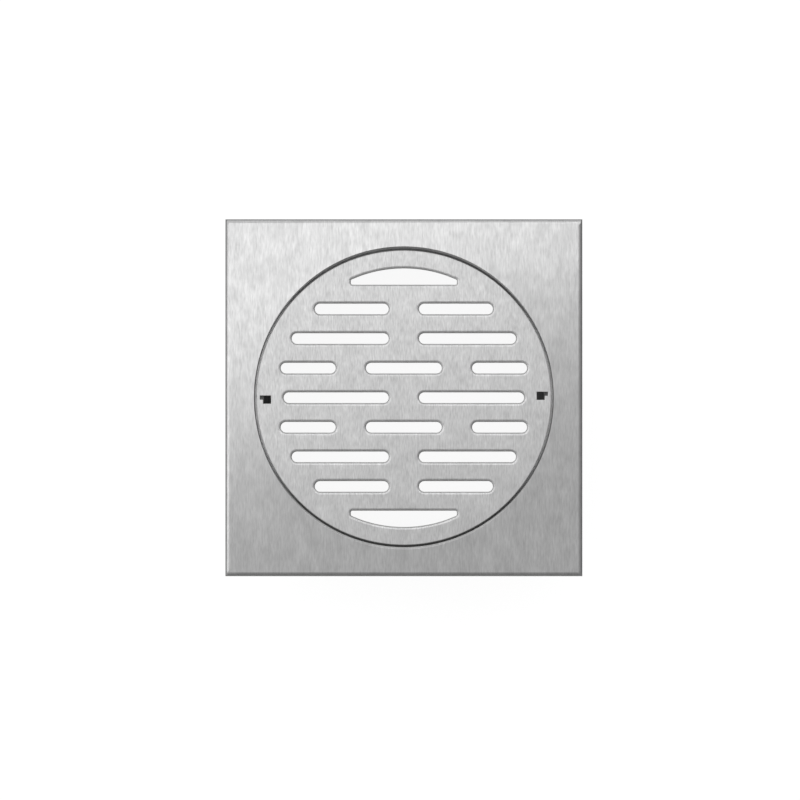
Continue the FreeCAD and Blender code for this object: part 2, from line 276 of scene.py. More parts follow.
def square_lip(piece, outside):
    """Behind the lip the sheet is thicker than its bends are round, so it has one sharp corner there.

    Solidify keeps the outside points first and adds the inside points after them in the same order.
    """
    points = piece.data.vertices
    for number in range(outside):
        x, y, z = points[number].co
        reach = math.hypot(x, y)
        if reach < RECESS_RADIUS + SHEET and z > TOP - SHEET:
            corner = (RECESS_RADIUS + SHEET) / reach
            points[outside + number].co = (x * corner, y * corner, TOP - SHEET)


def make_frame():
    angles = {step * math.tau / RING_STEPS for step in range(RING_STEPS)}
    for low, high in seam_spans + notch_spans:
        angles.update((low, high))
    angles = sorted(angles)
    rim = rounded([(HALF_FRAME, RIM_UNDER), (HALF_FRAME, TOP), (HALF_FRAME - 2 * RIM_BEND, TOP)],
                  [RIM_BEND])
    recess = rounded([(RECESS_RADIUS + 2 * LIP_BREAK, TOP), (RECESS_RADIUS + LIP_BREAK, TOP),
                      (RECESS_RADIUS, TOP - LIP_DROP), (RECESS_RADIUS, LEDGE_TOP),
                      (NOTCH_REACH, LEDGE_TOP)],
                     [LIP_ROUND, LIP_ROUND, SMALL_EDGE])
    rings = [(on_square, half, height) for half, height in rim]
    for radius, height in recess:
        rings.append((on_lip if radius > RECESS_RADIUS else on_circle, radius, height))
    rings.append((on_circle, LEDGE_RADIUS, LEDGE_TOP))
    windows = {0: seam_spans, len(rings) - 2: notch_spans}

    def left_out(number, column):
        return within(angles[column], angles[(column + 1) % len(angles)], windows.get(number, []))

    build = bmesh.new()
    skin_of_rings(build, angles, rings, left_out)
    piece = new_piece("drain_frame", build, "drain_body")
    outside = len(piece.data.vertices)
    thicken(piece, SHEET)
    square_lip(piece, outside)
    join_points(piece)
    return piece


frame_piece = make_frame()
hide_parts("frame")
shade(frame_piece)

# %% [markdown]
# ## The stop tabs
# Four small tabs under the ledge stop the lugs: one at each lug's locked place, one beside each
# notch. They are small blocks with broken edges, so a cube with a Bevel modifier is enough.

# %% Make the stop tabs
TAB_THICKNESS = 1.2 * MM
TAB_DROP = 2.2 * MM
TAB_SETBACK = 0.5 * MM
TAB_START = LEDGE_RADIUS + TAB_SETBACK


def make_stop_tabs():
    build = bmesh.new()
    length = LUG_REACH - TAB_START
    for lug_angle in LUG_ANGLES:
        for angle, side in ((lug_angle, -1), (lug_angle + RELEASE_TURN, 1)):
            place = Vector(((TAB_START + LUG_REACH) / 2, side * (NOTCH_HALF + TAB_THICKNESS / 2),
                            LEDGE_TOP - SHEET - TAB_DROP / 2))
            size = Matrix.Diagonal((length, TAB_THICKNESS, TAB_DROP, 1))
            bmesh.ops.create_cube(build, size=1, matrix=Matrix.Rotation(angle, 4, "Z")
                                  @ Matrix.Translation(place) @ size)
    piece = new_piece("stop_tabs", build, "drain_body")
    break_edges(piece)
    return piece


tab_piece = make_stop_tabs()
shade(tab_piece)

# %% [markdown]
# ## The bowl
# Below the frame hangs a drawn funnel: a flange welded under the plate, a short wall, a 45 degree
# taper and a spigot for the pipe. It is the same kind of skin, with round rings only. The inner
# bends get a real radius here, because a drawn sheet has no sharp corner.

# %% Make the bowl
BOWL_SHEET = 1.2 * MM
WALL_CLEARANCE = 0.6 * MM
WALL_RADIUS = RECESS_RADIUS + SHEET + WALL_CLEARANCE
SPIGOT_STEP = 7.35 * MM
SPIGOT_RADIUS = WALL_RADIUS - SPIGOT_STEP - BOWL_SHEET
TAPER_DEPTH = 13.0 * MM
TAPER_TOP = TOP - TAPER_DEPTH
TAPER_FOOT = TAPER_TOP - (WALL_RADIUS - SPIGOT_RADIUS)
BOWL_BEND = 1.5 * MM


def make_bowl():
    profile = rounded([(FLANGE_EDGE, FLANGE_TOP), (WALL_RADIUS, FLANGE_TOP), (WALL_RADIUS, TAPER_TOP),
                       (SPIGOT_RADIUS, TAPER_FOOT), (SPIGOT_RADIUS, bowl_low.z)],
                      [BOWL_BEND + BOWL_SHEET, BOWL_BEND, BOWL_BEND + BOWL_SHEET])
    angles = [step * math.tau / RING_STEPS for step in range(RING_STEPS)]
    build = bmesh.new()
    skin_of_rings(build, angles, [(on_circle, radius, height) for radius, height in profile])
    piece = new_piece("drain_bowl", build, "drain_body")
    thicken(piece, BOWL_SHEET)
    return piece


bowl_piece = make_bowl()
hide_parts("bowl")
shade(bowl_piece)

# %% [markdown]
# ## The grate
# The grate is a flat plate with a round outline, rows of round-ended slots, a crescent above and below
# them and two small L-shaped key holes. A filled 2D curve with a bevel makes such a plate quickly, but
# then every edge gets the same rounding, above and below. Here each outline is a list of points, and
# every edge is a skin of offset copies of its outline, so that the slots are broken on top and sharp
# below, as punched, and the key holes stay crisp.

# %% Outlines of the grate's openings
SLOT_HALF = 2.7 * MM
BRIDGE = 11.8 * MM
CENTRE_SLOT_HALF = 16.4 * MM
CRESCENT_MARGIN = 7.1 * MM
CRESCENT_RADIUS = GRATE_RADIUS - CRESCENT_MARGIN
CRESCENT_HEIGHT = 7.78 * MM
CRESCENT_FLAT = CRESCENT_RADIUS - CRESCENT_HEIGHT
CRESCENT_SHOULDER = 2.83 * MM
CRESCENT_END = CRESCENT_FLAT + CRESCENT_SHOULDER
CRESCENT_CORNER = 1.2 * MM
CORNER_STEPS = 4
CRESCENT_ROW = 4
ROW_PITCH = (CRESCENT_FLAT + SLOT_HALF) / CRESCENT_ROW
SLOT_MARGIN = 8.2 * MM
SLOT_CIRCLE = GRATE_RADIUS - SLOT_MARGIN
MIDDLE_ROW_SETBACK = 2.7 * MM
THIRD_ROW_SETBACK = 0.75 * MM
KEY_INSET = 4.4 * MM
KEY_HALF = 1.7 * MM
KEY_NOTCH = 1.3 * MM
KEY_OFFSET = 0.8 * MM
END_STEPS = 20


def arc(centre, radius, start, end, steps):
    return [Vector(centre) + Vector(on_circle(start + (end - start) * step / steps, radius))
            for step in range(steps + 1)]


def slot_outline(start, end, row):
    left = arc((start + SLOT_HALF, row), SLOT_HALF, math.pi / 2, 3 * math.pi / 2, END_STEPS)
    right = arc((end - SLOT_HALF, row), SLOT_HALF, -math.pi / 2, math.pi / 2, END_STEPS)
    return left + right


def slot_pair(start, end, row):
    return [slot_outline(start, end, row), slot_outline(-end, -start, row)]


def row_end(row, setback=0):
    return math.sqrt(SLOT_CIRCLE**2 - row**2) - setback


def crescent_outline(side):
    """A flat edge, two short ends and an arc round the grate's centre, with rounded corners."""
    half = math.sqrt(CRESCENT_RADIUS**2 - CRESCENT_END**2)
    first = math.atan2(CRESCENT_END, half)
    crown = arc((0, 0), CRESCENT_RADIUS, first, math.pi - first, 2 * END_STEPS)
    corners = [(0, CRESCENT_FLAT), (half, CRESCENT_FLAT), crown[0], crown[CORNER_STEPS]]
    right = rounded(corners, [CRESCENT_CORNER, CRESCENT_CORNER])[1:-1]
    left = [Vector((-point.x, point.y)) for point in reversed(right)]
    points = right + crown[CORNER_STEPS:-CORNER_STEPS] + left
    return points if side > 0 else [-point for point in points]


def key_outline(side):
    """A square with a notch on the upper half of its outer side."""
    middle = GRATE_RADIUS - KEY_INSET
    outer = middle + KEY_HALF + KEY_NOTCH
    offset = side * KEY_OFFSET
    corners = [(middle - KEY_HALF, offset - KEY_HALF), (middle + KEY_HALF, offset - KEY_HALF),
               (middle + KEY_HALF, offset), (outer, offset), (outer, offset + KEY_HALF),
               (middle - KEY_HALF, offset + KEY_HALF)]
    points = [Vector((side * x, y)) for x, y in corners]
    return points if side > 0 else points[::-1]


def slot_outlines():
    half_bridge = BRIDGE / 2
    outlines = slot_pair(half_bridge, row_end(0, MIDDLE_ROW_SETBACK), 0)
    for side in (1, -1):
        first, second, third = [side * number * ROW_PITCH for number in (1, 2, 3)]
        outlines.append(slot_outline(-CENTRE_SLOT_HALF, CENTRE_SLOT_HALF, first))
        outlines += slot_pair(CENTRE_SLOT_HALF + BRIDGE, row_end(first), first)
        outlines += slot_pair(half_bridge, row_end(second), second)
        outlines += slot_pair(half_bridge, row_end(third, THIRD_ROW_SETBACK), third)
        outlines.append(crescent_outline(side))
    return outlines


slots = slot_outlines()
key_holes = [key_outline(side) for side in (1, -1)]
print(len(slots), "slots,", len(key_holes), "key holes, rows", round(ROW_PITCH / MM, 2), "mm apart")

# %% [markdown]
# An edge is a profile carried along an outline: from the sharp lower edge up the wall, then over a
# rounding, or over a small bevel at the rim, to the flat top. Each point of the profile is one copy of
# the outline, pushed sideways into the plate. A punched slot has a wide rolled edge, which draws the wall
# in a little and leaves less clear width below. The flat faces above and below are filled between the
# copies at the ends of the profiles.

# %% Make the grate
RIM_BREAK = 0.25 * MM
RIM_ROUND = 0.1 * MM
SLOT_ROUND = 1.1 * MM
SLOT_ROLL_IN = 0.45 * MM


def pushed(outline, distance):
    """The outline moved outwards by a distance, for an outline that runs anticlockwise."""
    result = []
    for before, here, after in zip(outline[-1:] + outline[:-1], outline, outline[1:] + outline[:1]):
        sides = [Vector((step.y, -step.x)).normalized() for step in (here - before, after - here)]
        middle = (sides[0] + sides[1]).normalized()
        result.append(here + middle * (distance / middle.dot(sides[0])))
    return result


def rolled(radius, roll_in=0):
    """A wall that turns over a rounding into the top; roll_in draws it in from the outline."""
    return rounded([(-roll_in, GRATE_UNDER), (-roll_in, TOP), (2 * radius, TOP)], [radius])[:-1]


def bevelled(width, radius):
    """A wall with a bevel below the top, whose two corners are rounded."""
    return rounded([(0, GRATE_UNDER), (0, TOP - width), (width, TOP), (2 * width, TOP)],
                   [radius, radius])[:-1]


def edge_of(build, outline, inward, profile):
    """The wall and broken edge along an outline; returns its lowest and highest ring of edges."""
    rows = [[build.verts.new((*point, height)) for point in pushed(outline, inward * distance)]
            for distance, height in profile]
    join_rows(build, rows)
    count = len(outline)
    return [[build.edges.get((row[column], row[(column + 1) % count])) for column in range(count)]
            for row in (rows[0], rows[-1])]


def make_grate():
    build = bmesh.new()
    rim = arc((0, 0), GRATE_RADIUS, 0, math.tau, 2 * RING_STEPS)[:-1]
    rings = [edge_of(build, rim, -1, bevelled(RIM_BREAK, RIM_ROUND))]
    rings += [edge_of(build, outline, 1, rolled(SLOT_ROUND, SLOT_ROLL_IN)) for outline in slots]
    rings += [edge_of(build, outline, 1, rolled(SMALL_EDGE)) for outline in key_holes]
    for level in (0, 1):
        border = [edge for ring in rings for edge in ring[level]]
        bmesh.ops.triangle_fill(build, use_beauty=True, edges=border)
    bmesh.ops.recalc_face_normals(build, faces=build.faces)
    return new_piece("drain_grate", build, "grate_body")


grate_piece = make_grate()
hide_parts("grate")
shade(grate_piece)

# %% [markdown]
# ## The lock lugs
# A lug is a strip bent to an L and welded under the grate's solid rim. Its foot slides under the
# frame's ledge when the grate is turned. The strip is a skin with a thickness, like the frame, but
# with two columns instead of rings, and its cut edges are broken by a Bevel modifier.

# %% Make the lugs and their welds
LUG_SHEET = 1.5 * MM
LUG_BEND = 2.0 * MM
LUG_CLEARANCE = 0.5 * MM
LEG_INSIDE = LEDGE_RADIUS - LUG_CLEARANCE - LUG_SHEET
WELD_RADIUS = 0.7 * MM
WELD_STEPS = 32
RIPPLE_STEPS = 4
RIPPLE = 0.15


def make_lug(number, angle):
    corners = [(LEG_INSIDE, GRATE_UNDER), (LEG_INSIDE, FOOT_UNDER), (LUG_REACH, FOOT_UNDER)]
    build = bmesh.new()
    rows = [[build.verts.new((radius, side * LUG_HALF, height)) for side in (1, -1)]
            for radius, height in rounded(corners, [LUG_BEND])]
    for (near, far), (next_near, next_far) in zip(rows, rows[1:]):
        build.faces.new((near, next_near, next_far, far))
    bmesh.ops.rotate(build, verts=build.verts, cent=(0, 0, 0), matrix=Matrix.Rotation(angle, 3, "Z"))
    piece = new_piece(f"lug_strip_{number}", build, "grate_body")
    thicken(piece, LUG_SHEET)
    break_edges(piece)
    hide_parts(f"lock_lug_{number}")
    return piece


def make_weld(number, angle):
    """A rippled bead in the corner between the lug's inner face and the grate's underside."""
    build = bmesh.new()
    rows = []
    for step in range(WELD_STEPS + 1):
        along = LUG_HALF * (2 * step / WELD_STEPS - 1)
        swell = WELD_RADIUS * (1 - RIPPLE + RIPPLE * abs(math.sin(step * math.pi / RIPPLE_STEPS)))
        section = arc((LEG_INSIDE, GRATE_UNDER), swell, math.pi, 3 * math.pi / 2, BEND_STEPS)
        points = [Vector((LEG_INSIDE, GRATE_UNDER))] + section
        rows.append([build.verts.new((point.x, along, point.y)) for point in points])
    join_rows(build, rows)
    build.faces.new(rows[0])
    build.faces.new(rows[-1])
    bmesh.ops.recalc_face_normals(build, faces=build.faces)
    bmesh.ops.rotate(build, verts=build.verts, cent=(0, 0, 0), matrix=Matrix.Rotation(angle, 3, "Z"))
    return new_piece(f"lug_weld_{number}", build, "grate_body")


lug_pieces = [make_lug(number, angle) for number, angle in enumerate(LUG_ANGLES, start=1)]
weld_pieces = [make_weld(number, angle) for number, angle in enumerate(LUG_ANGLES, start=1)]
for piece in lug_pieces + weld_pieces:
    shade(piece)

# %% [markdown]
# ## Spot welds
# The bowl's flange is spot-welded to the frame's plate, and from below each weld shows as a shallow
# round dimple with a raised lip. They could be painted, but a few rings of points make them real:
# each is a small turned form that stands a hair below the flange, so it catches the light.

# %% Make the spot welds under the flange
WELD_COUNT = 12
WELD_SPOT = 2.2 * MM
WELD_LIP = 0.12 * MM
SPOT_STEPS = 24
FLANGE_UNDER = FLANGE_TOP - BOWL_SHEET

# The weld's section from its buried edge to its middle: share of the radius, share of the lip's drop
SPOT_SECTION = ((1.0, -1.0), (1.0, 0.0), (0.85, 1.0), (0.7, 0.8), (0.5, 0.25), (0.2, 0.15))


def make_spot_welds():
    build = bmesh.new()
    middle = (FLANGE_EDGE + WALL_RADIUS + BOWL_SHEET + BOWL_BEND) / 2
    for number in range(WELD_COUNT):
        centre = on_circle((number + 0.5) * math.tau / WELD_COUNT, middle)
        rows = []
        for share, drop in SPOT_SECTION:
            height = FLANGE_UNDER - drop * WELD_LIP
            ring = arc(centre, share * WELD_SPOT, math.tau, 0, SPOT_STEPS)[:-1]
            rows.append([build.verts.new((*point, height)) for point in ring])
        join_rows(build, rows)
        build.faces.new(rows[-1])
        build.faces.new(rows[0][::-1])
    return new_piece("flange_spot_welds", build, "drain_body")


spot_piece = make_spot_welds()
shade(spot_piece)

# %% [markdown]
# ## The direction of the grain
# Brushed steel is covered in fine parallel scratches, so its gloss is stretched across them. The
# shader's Anisotropic value does that, but it has to know which way the scratches run. A UV map that
# is laid flat from the widest side of each face, with U across the grain, tells it through a Tangent
# node.

# %% Lay a UV map on each piece
GRAIN_MAP = "grain"
LAID_FLAT = 0.3


def lay_grain(piece):
    """Lay the map flat from above, or from the side on faces that stand upright."""
    mesh = piece.data
    layer = mesh.uv_layers.new(name=GRAIN_MAP)
    for face in mesh.polygons:
        sizes = [abs(part) for part in face.normal]
        if sizes[2] > LAID_FLAT:
            first, second = 0, 1
        elif sizes[0] > sizes[1]:
            first, second = 2, 1
        else:
            first, second = 0, 2
        for corner in face.loop_indices:
            place = mesh.vertices[mesh.loops[corner].vertex_index].co
            layer.data[corner].uv = (place[first] / HALF_FRAME, place[second] / HALF_FRAME)


all_pieces = [frame_piece, tab_piece, bowl_piece, grate_piece, spot_piece] + lug_pieces + weld_pieces
for piece in all_pieces:
    lay_grain(piece)
print(len(all_pieces), "pieces have a grain map")

# %% [markdown]
# ## Brushed steel
# The finish is built from noise in the object's own space, measured in metres. Noise stretched along
# the grain gives the scratches: short ones that carry most of the look and hairlines that run further.
# Rounder, fainter noise gives the cloudy patches that a brushing belt leaves. Together they change the
# tone, the roughness and, a little, the surface itself through a Bump node. The frame and the grate
# are brushed along Y; the drawn bowl is lined around its axis.

# %% Helpers for the finishes
NOISE_LOW = 0.25
NOISE_HIGH = 0.75
ROUGHNESS_SWING = 0.1
SCRATCH_DEPTH = 0.05 * MM


def noise_of_size(tree, size, detail):
    """Noise in the object's space whose cells have the given size along X, Y and Z."""
    where = tree.nodes.new("ShaderNodeTexCoord")
    stretch = tree.nodes.new("ShaderNodeMapping")
    stretch.inputs["Scale"].default_value = [1 / length for length in size]
    noise = tree.nodes.new("ShaderNodeTexNoise")
    noise.inputs["Scale"].default_value = 1
    noise.inputs["Detail"].default_value = detail
    tree.links.new(where.outputs["Object"], stretch.inputs["Vector"])
    tree.links.new(stretch.outputs["Vector"], noise.inputs["Vector"])
    return noise.outputs["Fac"]


def spread(tree, factor, low, high):
    """Map the middle of a noise's range onto the values from low to high."""
    node = tree.nodes.new("ShaderNodeMapRange")
    tree.links.new(factor, node.inputs["Value"])
    node.inputs["From Min"].default_value = NOISE_LOW
    node.inputs["From Max"].default_value = NOISE_HIGH
    node.inputs["To Min"].default_value = low
    node.inputs["To Max"].default_value = high
    return node.outputs["Result"]


def combine(tree, operation, first, second):
    """One Math node between two values."""
    node = tree.nodes.new("ShaderNodeMath")
    node.operation = operation
    tree.links.new(first, node.inputs[0])
    tree.links.new(second, node.inputs[1])
    return node.outputs["Value"]


def steel(name, tone, roughness, anisotropy, layers, relief, brighten=None):
    """Steel with layers of (cell size, detail, contrast) noise; the first also changes the surface."""
    material = bpy.data.materials.new(name)
    material.use_nodes = True
    tree = material.node_tree
    shader = tree.nodes["Principled BSDF"]
    shader.inputs["Metallic"].default_value = 1
    shader.inputs["Anisotropic"].default_value = anisotropy

    noises = [noise_of_size(tree, size, detail) for size, detail, contrast in layers]
    shades = [spread(tree, noise, 1 - contrast, 1 + contrast)
              for noise, (size, detail, contrast) in zip(noises, layers)]
    total = shades[0]
    for shade_value in shades[1:]:
        total = combine(tree, "MULTIPLY", total, shade_value)
    if brighten:
        total = combine(tree, "MULTIPLY", total, brighten(tree))
    colour = tree.nodes.new("ShaderNodeVectorMath")
    colour.operation = "SCALE"
    colour.inputs[0].default_value = tone
    tree.links.new(total, colour.inputs["Scale"])
    tree.links.new(colour.outputs["Vector"], shader.inputs["Base Color"])
    gloss = spread(tree, noises[0], roughness * (1 + ROUGHNESS_SWING), roughness * (1 - ROUGHNESS_SWING))
    tree.links.new(gloss, shader.inputs["Roughness"])

    bump = tree.nodes.new("ShaderNodeBump")
    bump.inputs["Strength"].default_value = relief
    bump.inputs["Distance"].default_value = SCRATCH_DEPTH
    tree.links.new(noises[0], bump.inputs["Height"])
    tree.links.new(bump.outputs["Normal"], shader.inputs["Normal"])
    tangent = tree.nodes.new("ShaderNodeTangent")
    tangent.direction_type = "UV_MAP"
    tangent.uv_map = GRAIN_MAP
    tree.links.new(tangent.outputs["Tangent"], shader.inputs["Tangent"])
    return material


def grey(tone):
    return tone, tone, tone


def dress(pieces, material):
    """Give whole pieces one finish."""
    for piece in pieces:
        piece.data.materials.clear()
        piece.data.materials.append(material)
    print(material.name, "on", [piece.name for piece in pieces])


def dress_faces(piece, material, chosen):
    """Give the faces that a test chooses a second finish."""
    piece.data.materials.append(material)
    count = 0
    for face in piece.data.polygons:
        if chosen(face):
            face.material_index = len(piece.data.materials) - 1
            count += 1
    print(material.name, "on", count, "faces of", piece.name)


# %% Give each piece its finish
# Each layer of a grain: the size of its cells along X, Y and Z, its detail and its contrast
FRAME_GRAIN = (((0.6 * MM, 3.5 * MM, 0.6 * MM), 3, 0.12), ((0.25 * MM, 18 * MM, 0.25 * MM), 2, 0.04),
               ((4 * MM, 7 * MM, 4 * MM), 4, 0.09))
FOLD_GRAIN = (((0.6 * MM, 0.6 * MM, 3.5 * MM), 3, 0.12), ((0.25 * MM, 0.25 * MM, 18 * MM), 2, 0.04),
              ((4 * MM, 4 * MM, 7 * MM), 4, 0.09))
GRATE_GRAIN = (((0.55 * MM, 3 * MM, 0.55 * MM), 3, 0.12), ((0.25 * MM, 12 * MM, 0.25 * MM), 2, 0.04),
               ((4 * MM, 6 * MM, 4 * MM), 4, 0.08))
DRAWN_GRAIN = (((30 * MM, 30 * MM, 0.5 * MM), 3, 0.08), ((12 * MM, 12 * MM, 5 * MM), 2, 0.08))
STRIP_GRAIN = (((0.4 * MM, 4 * MM, 0.4 * MM), 3, 0.08), ((5 * MM, 5 * MM, 5 * MM), 2, 0.06))
WELD_GRAIN = (((0.5 * MM, 0.5 * MM, 0.5 * MM), 3, 0.20), ((2 * MM, 2 * MM, 2 * MM), 2, 0.15))

brushed_frame = steel("brushed_frame", tone=grey(0.65), roughness=0.36, anisotropy=0.5,
                      layers=FRAME_GRAIN, relief=0.1)
brushed_grate = steel("brushed_grate", tone=grey(0.78), roughness=0.56, anisotropy=0.5,
                      layers=GRATE_GRAIN, relief=0.1)
drawn_bowl = steel("drawn_bowl", tone=(0.60, 0.60, 0.59), roughness=0.45, anisotropy=0.3,
                   layers=DRAWN_GRAIN, relief=0.15)
bent_strip = steel("bent_strip", tone=grey(0.60), roughness=0.40, anisotropy=0.3,
                   layers=STRIP_GRAIN, relief=0.15)
heat_tint = steel("heat_tint", tone=(0.50, 0.47, 0.43), roughness=0.45, anisotropy=0.0,
                  layers=WELD_GRAIN, relief=0.3)
dress([frame_piece, tab_piece], brushed_frame)
dress([grate_piece], brushed_grate)
dress([bowl_piece], drawn_bowl)
dress(lug_pieces, bent_strip)
dress(weld_pieces + [spot_piece], heat_tint)

# %% [markdown]
# The brushing belt runs over the top only. The walls of the slots and the grate's edge keep the dull skin
# of the press. The recess, the ledge under the grate and the inside of the bowl are painted dark as
# painted shade, and that is what makes the gap round the grate a dark line. At its left and right, where
# the line is lighter, the recess is painted lighter, as painted light that falls along the gap there. The
# lip's bevel is painted between the two in tone, a lighter painted shade. The folded sides are painted
# darker as painted shade, those at the left and right more than those at the front and back. On the folds
# the grain runs on over the bend, so it stands upright on two of the sides. These are faces of the same
# meshes, so they only get a second material.

# %% Leave the cut walls dull and paint shade on the folded sides, the recess and the bowl's inside
STEEP = 0.65
TILTED = 0.3
# The recess is painted lighter towards its left and right, as painted light that falls along the gap.
SIDE_LIGHT_REACH = (0.7 * RECESS_RADIUS, RECESS_RADIUS)
SIDE_LIGHT_GAIN = 3.8
CUT_GRAIN = (((0.3 * MM, 0.3 * MM, 1.5 * MM), 2, 0.15), ((3 * MM, 3 * MM, 3 * MM), 2, 0.10))


def painted_light_along_gap(tree):
    """Painted light: a factor that grows towards the left and right of the recess, where the gap runs
    along Y.
    """
    where = tree.nodes.new("ShaderNodeTexCoord")
    parts = tree.nodes.new("ShaderNodeSeparateXYZ")
    sideways = tree.nodes.new("ShaderNodeMath")
    sideways.operation = "ABSOLUTE"
    gain = tree.nodes.new("ShaderNodeMapRange")
    gain.inputs["From Min"].default_value, gain.inputs["From Max"].default_value = SIDE_LIGHT_REACH
    gain.inputs["To Min"].default_value = 1
    gain.inputs["To Max"].default_value = SIDE_LIGHT_GAIN
    tree.links.new(where.outputs["Object"], parts.inputs["Vector"])
    tree.links.new(parts.outputs["X"], sideways.inputs[0])
    tree.links.new(sideways.outputs["Value"], gain.inputs["Value"])
    return gain.outputs["Result"]


cut_edge = steel("cut_edge", tone=grey(0.78), roughness=0.60, anisotropy=0.0,
                 layers=CUT_GRAIN, relief=0.1)
# Painted shade: the folded sides are darker than the top, those at the left and right most.
long_side_painted_shade = steel("long_side_painted_shade", tone=grey(0.30), roughness=0.40, anisotropy=0.5,
                  layers=FRAME_GRAIN, relief=0.1)
cross_side_painted_shade = steel("cross_side_painted_shade", tone=grey(0.44), roughness=0.40, anisotropy=0.5,
                   layers=FOLD_GRAIN, relief=0.1)
# Painted shade: the lip's bevel, and darker still the recess, which is painted lighter at its sides.
lip_painted_shade = steel("lip_painted_shade", tone=grey(0.48), roughness=0.40, anisotropy=0.0,
                    layers=FRAME_GRAIN, relief=0.1)
recess_painted_shade = steel("recess_painted_shade", tone=grey(0.24), roughness=0.60, anisotropy=0.0,
                       layers=CUT_GRAIN, relief=0.2, brighten=painted_light_along_gap)
# Painted shade: the inside of the bowl and the ledge under the grate are painted dark.
bowl_inside_painted_shade = steel("bowl_inside_painted_shade", tone=grey(0.22), roughness=0.60, anisotropy=0.0,
                    layers=DRAWN_GRAIN, relief=0.15)


def faces_inward(face):
    """How far a face looks towards the drain's axis, from -1 to 1."""
    centre = face.center
    return -(centre.x * face.normal.x + centre.y * face.normal.y) / math.hypot(centre.x, centre.y)


def reach_of(face):
    return math.hypot(face.center.x, face.center.y)


def in_recess(face):
    below_lip = reach_of(face) < RECESS_RADIUS + SAME_POINT and face.center.z < TOP - LIP_DROP
    return below_lip and (faces_inward(face) > STEEP or face.normal.z > STEEP)


def on_bevel(face):
    near_lip = reach_of(face) < RECESS_RADIUS + LIP_BREAK and face.center.z > TOP - LIP_BREAK
    return near_lip and faces_inward(face) > TILTED


def under_grate(face):
    return face.normal.z > STEEP and reach_of(face) < NOTCH_REACH


# Painted shade on the folded sides.
dress_faces(frame_piece, long_side_painted_shade, lambda face: abs(face.normal.x) > STEEP)
dress_faces(frame_piece, cross_side_painted_shade, lambda face: abs(face.normal.y) > STEEP)
# Painted shade in the recess and on the lip's bevel, with painted light at the recess's sides.
dress_faces(frame_piece, recess_painted_shade, in_recess)
dress_faces(frame_piece, lip_painted_shade, on_bevel)
# Painted shade on the ledge under the grate and inside the bowl.
dress_faces(frame_piece, bowl_inside_painted_shade, under_grate)
dress_faces(bowl_piece, bowl_inside_painted_shade, lambda face: faces_inward(face) > STEEP)
dress_faces(grate_piece, cut_edge, lambda face: abs(face.normal.z) < STEEP)

# %% [markdown]
# ## The floor and the room
# The drain stands on a white table and is seen from straight above. The white has to come from the
# table's own colour, not from more light on the steel. So a ray from the camera meets a fixed white that
# falls a little short of full, and the lit surface adds the rest, which keeps the drain's shadow. A
# reflection finds little of the fixed white, or the folded rim would glow. The room has a bright wall and
# a dark one opposite, by a Color Ramp, so that every broken edge of the steel shows a light and a dark
# side.

# %% Make the floor and the room
FLOOR_HALF = 3.0
FIXED_WHITE = (("Is Camera Ray", 0.92), ("Is Transmission Ray", 0.92), ("Is Glossy Ray", 0.1))
TABLE_TONE = 0.55
SEEN_TONE = 0.22


def fixed_share(tree, path):
    """How much of the white is fixed, for the kind of ray that meets the table."""
    shares = []
    for name, share in FIXED_WHITE:
        scaled = tree.nodes.new("ShaderNodeMath")
        scaled.operation = "MULTIPLY"
        scaled.inputs[1].default_value = share
        tree.links.new(path.outputs[name], scaled.inputs[0])
        shares.append(scaled.outputs["Value"])
    total = shares[0]
    for share in shares[1:]:
        total = combine(tree, "MAXIMUM", total, share)
    return total


def make_floor():
    build = bmesh.new()
    bmesh.ops.create_grid(build, x_segments=1, y_segments=1, size=FLOOR_HALF)
    mesh = bpy.data.meshes.new("table_top")
    build.to_mesh(mesh)
    build.free()
    table = bpy.data.objects.new("table_top", mesh)
    bpy.context.scene.collection.objects.link(table)

    material = bpy.data.materials.new("white_table")
    material.use_nodes = True
    tree = material.node_tree
    tree.nodes.clear()
    path = tree.nodes.new("ShaderNodeLightPath")
    tone = tree.nodes.new("ShaderNodeMapRange")
    tone.inputs["To Min"].default_value = TABLE_TONE
    tone.inputs["To Max"].default_value = SEEN_TONE
    lit = tree.nodes.new("ShaderNodeBsdfDiffuse")
    white = tree.nodes.new("ShaderNodeEmission")
    both = tree.nodes.new("ShaderNodeAddShader")
    output = tree.nodes.new("ShaderNodeOutputMaterial")
    tree.links.new(path.outputs["Is Camera Ray"], tone.inputs["Value"])
    tree.links.new(tone.outputs["Result"], lit.inputs["Color"])
    tree.links.new(fixed_share(tree, path), white.inputs["Strength"])
    tree.links.new(lit.outputs["BSDF"], both.inputs[0])
    tree.links.new(white.outputs["Emission"], both.inputs[1])
    tree.links.new(both.outputs["Shader"], output.inputs["Surface"])
    mesh.materials.append(material)


BRIGHT_WALL = (-0.57, 0.82, 0)
ROOM_TONES = ((0.0, 0.18), (0.3, 0.25), (0.5, 0.57), (0.75, 0.66), (1.0, 1.0))


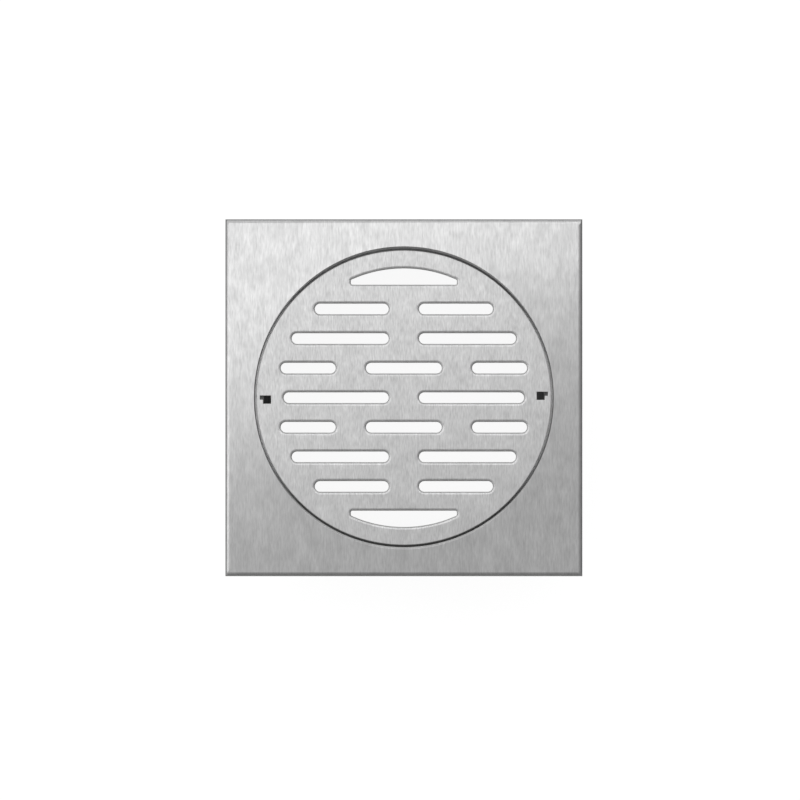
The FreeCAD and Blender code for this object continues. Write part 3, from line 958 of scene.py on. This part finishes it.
def make_room():
    world = bpy.data.worlds.new("studio_room")
    bpy.context.scene.world = world
    world.use_nodes = True
    tree = world.node_tree
    tree.nodes.clear()
    where = tree.nodes.new("ShaderNodeTexCoord")
    towards = tree.nodes.new("ShaderNodeVectorMath")
    towards.operation = "DOT_PRODUCT"
    towards.inputs[1].default_value = Vector(BRIGHT_WALL).normalized()
    share = tree.nodes.new("ShaderNodeMapRange")
    share.inputs["From Min"].default_value = -1
    tones = tree.nodes.new("ShaderNodeValToRGB")
    for element in list(tones.color_ramp.elements)[1:]:
        tones.color_ramp.elements.remove(element)
    for number, (place, tone) in enumerate(ROOM_TONES):
        element = tones.color_ramp.elements.new(place) if number else tones.color_ramp.elements[0]
        element.position = place
        element.color = (tone, tone, tone, 1)
    walls = tree.nodes.new("ShaderNodeBackground")
    white = tree.nodes.new("ShaderNodeBackground")
    white.inputs["Color"].default_value = (1, 1, 1, 1)
    path = tree.nodes.new("ShaderNodeLightPath")
    blend = tree.nodes.new("ShaderNodeMixShader")
    output = tree.nodes.new("ShaderNodeOutputWorld")
    tree.links.new(where.outputs["Generated"], towards.inputs[0])
    tree.links.new(towards.outputs["Value"], share.inputs["Value"])
    tree.links.new(share.outputs["Result"], tones.inputs["Fac"])
    tree.links.new(tones.outputs["Color"], walls.inputs["Color"])
    tree.links.new(path.outputs["Is Camera Ray"], blend.inputs["Fac"])
    tree.links.new(walls.outputs["Background"], blend.inputs[1])
    tree.links.new(white.outputs["Background"], blend.inputs[2])
    tree.links.new(blend.outputs["Shader"], output.inputs["Surface"])


make_floor()
make_room()
print("table", 2 * FLOOR_HALF, "m wide, room of", len(ROOM_TONES), "tones")

# %% [markdown]
# ## The light panel
# Flat steel seen from above shows what hangs over it. One long soft panel hangs low over the upper
# half of the drain, turned a little to the left, so the plate is bright there and darker away from it.
# It is narrow, because a wide one would also fill the plate with white in slanting views. It is an Area
# light, whose power is worked out from the glow that its surface should have, where 1 is white. It is
# hidden from the camera because it hangs between the camera and the drain.

# %% Hang the light panel
PANEL_WIDTH = 1.0
PANEL_DEPTH = 0.15
PANEL_HEIGHT = 0.24
PANEL_EDGE = 0.02
PANEL_TURN = math.radians(22)
PANEL_GLOW = 0.84


def hang_panel():
    light = bpy.data.lights.new("soft_panel", "AREA")
    light.shape = "RECTANGLE"
    light.size = PANEL_WIDTH
    light.size_y = PANEL_DEPTH
    light.energy = PANEL_GLOW * math.pi * PANEL_WIDTH * PANEL_DEPTH
    panel = bpy.data.objects.new("soft_panel", light)
    middle = PANEL_EDGE + PANEL_DEPTH / 2
    panel.location = (-middle * math.sin(PANEL_TURN), middle * math.cos(PANEL_TURN), TOP + PANEL_HEIGHT)
    panel.rotation_euler.z = PANEL_TURN
    panel.visible_camera = False
    bpy.context.scene.collection.objects.link(panel)
    print("panel power", round(light.energy, 2), "W")


hang_panel()

# %% [markdown]
# ## The camera
# The picture is taken from straight above with a long lens, so that upright walls stay out of sight
# and the openings show the table right through. The drain lies a little off the picture's centre.

# %% Place the camera
LENS = 450
SENSOR = 36
PICTURE_WIDTH = 336.1 * MM
PICTURE_CENTRE = (-1.63 * MM, -0.95 * MM)
FAR_LIMIT = 50


def place_camera():
    data = bpy.data.cameras.new("camera")
    data.lens = LENS
    data.sensor_width = SENSOR
    data.clip_end = FAR_LIMIT
    camera = bpy.data.objects.new("camera", data)
    camera.location = (*PICTURE_CENTRE, TOP + PICTURE_WIDTH * LENS / SENSOR)
    bpy.context.scene.collection.objects.link(camera)
    bpy.context.scene.camera = camera
    return camera


camera = place_camera()
bpy.context.scene.view_settings.view_transform = "Standard"
print("camera", round(camera.location.z, 3), "m above the floor")
